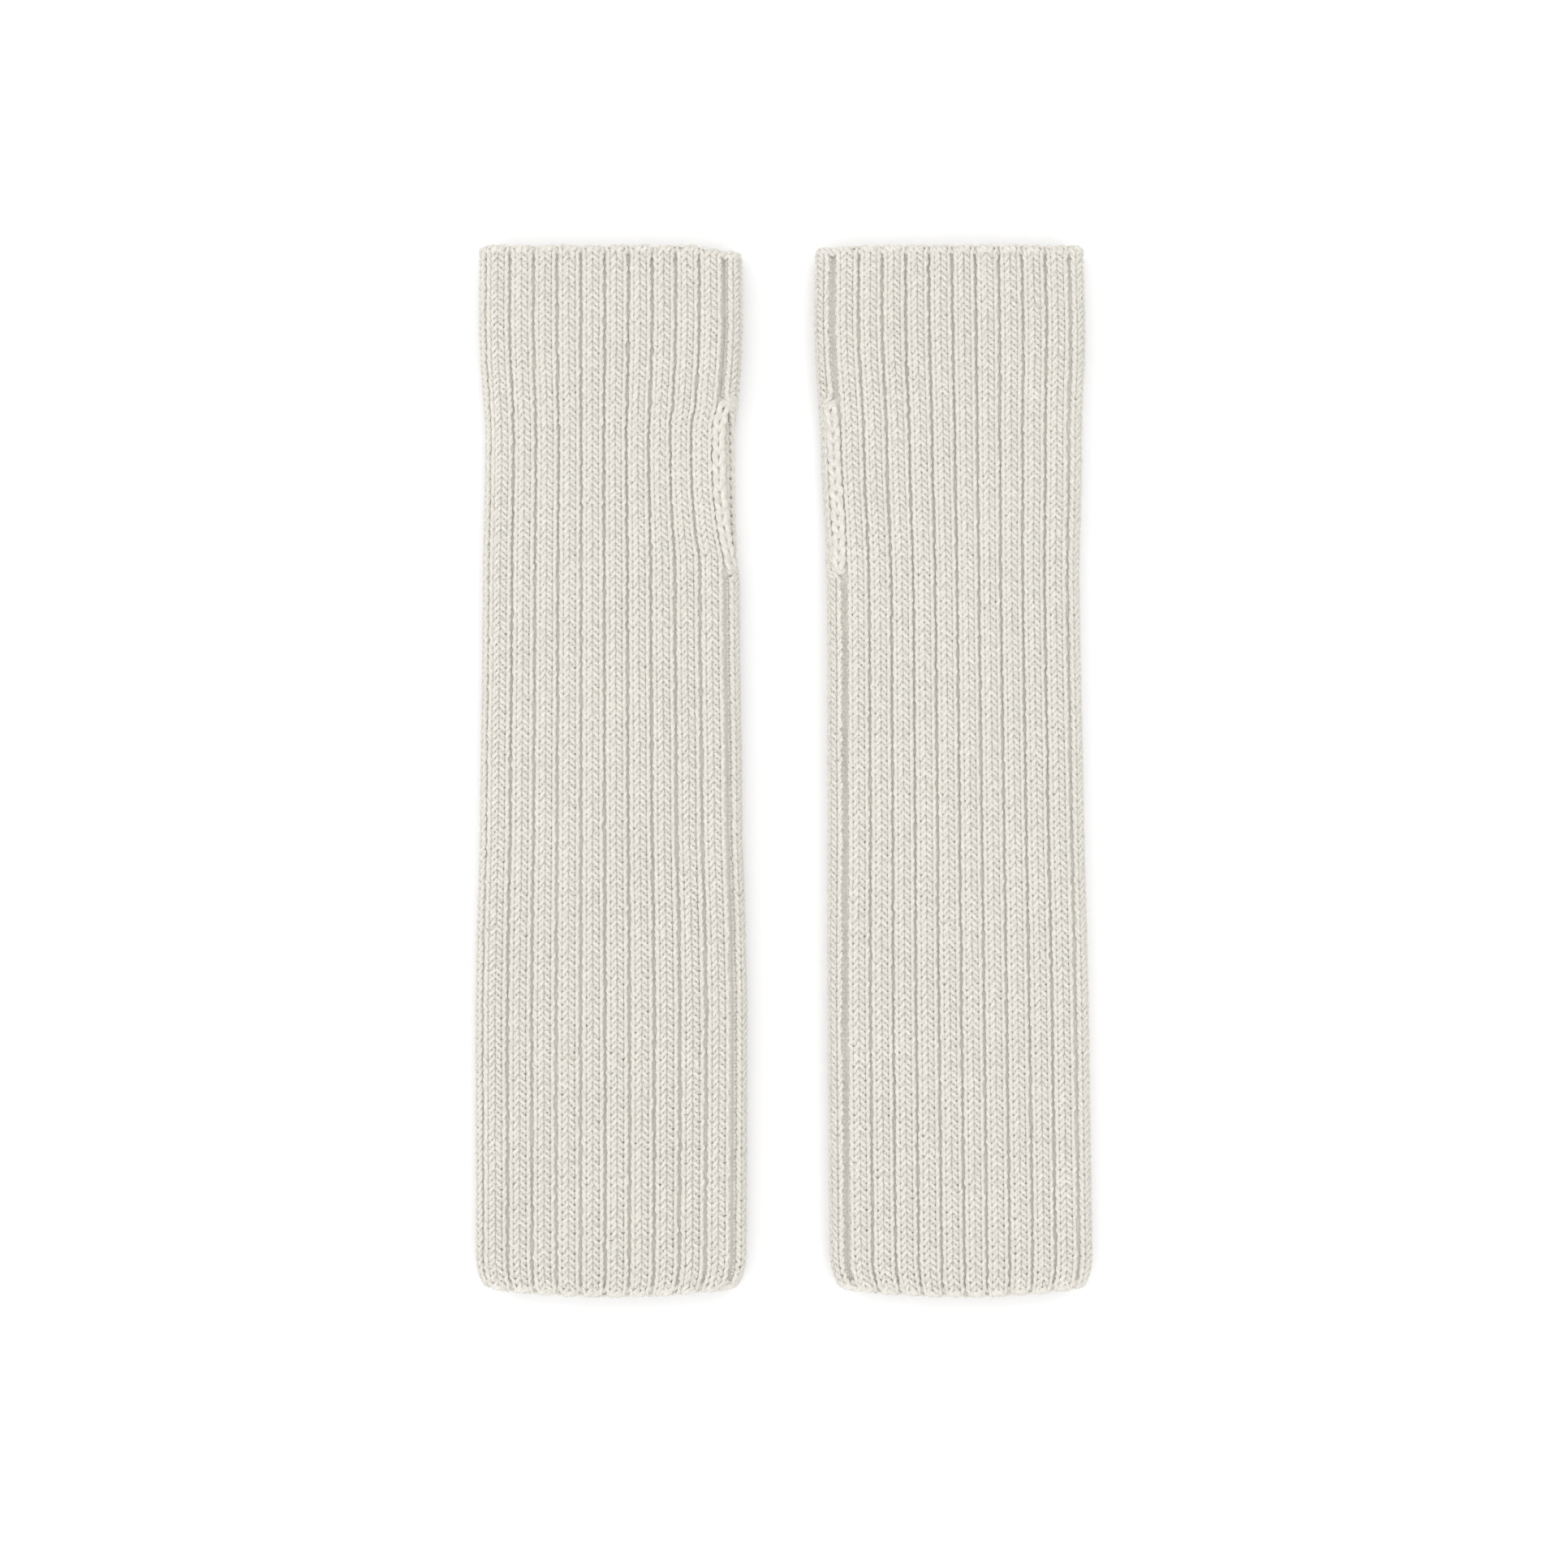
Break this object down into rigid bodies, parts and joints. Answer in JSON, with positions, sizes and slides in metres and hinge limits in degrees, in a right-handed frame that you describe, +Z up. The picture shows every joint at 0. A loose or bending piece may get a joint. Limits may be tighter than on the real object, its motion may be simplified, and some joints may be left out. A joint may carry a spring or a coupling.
{
  "type": "fingerless gloves",
  "caption": "Long rib-knit fingerless gloves lying flat side by side, each a flattened knitted tube with a thumb slit left open in its side seam.",
  "frame": {"origin": "on the resting surface, in the middle of the box around both gloves", "axes": "+Y along the gloves towards the finger ends, +X to the right seen from above, +Z up out of the resting surface"},
  "size_m": [0.2066, 0.35, 0.013],
  "materials": {
    "knit_wool": "soft ivory wool yarn, ribbed knit, matt and slightly fuzzy",
    "edge_wool": "the same ivory wool worked as an edge chain",
    "seam_yarn": "ivory linking yarn, matt"
  },
  "bodies": {
    "left_glove": {"left_knit_panel": "knit_wool", "left_hand_edge": "edge_wool", "left_arm_edge": "edge_wool", "left_upper_seam": "seam_yarn", "left_lower_seam": "seam_yarn", "left_slit_front_edging": "edge_wool", "left_slit_back_edging": "edge_wool", "left_upper_tack": "seam_yarn", "left_lower_tack": "seam_yarn"},
    "right_glove": {"right_knit_panel": "knit_wool", "right_hand_edge": "edge_wool", "right_arm_edge": "edge_wool", "right_upper_seam": "seam_yarn", "right_lower_seam": "seam_yarn", "right_slit_front_edging": "edge_wool", "right_slit_back_edging": "edge_wool", "right_upper_tack": "seam_yarn", "right_lower_tack": "seam_yarn"}
  },
  "joints": [
    {"name": "pair_spread", "type": "slide", "parent": "left_glove", "child": "right_glove", "axis": [1, 0, 0], "range_m": [-0.02, 0.15]}
  ]
}
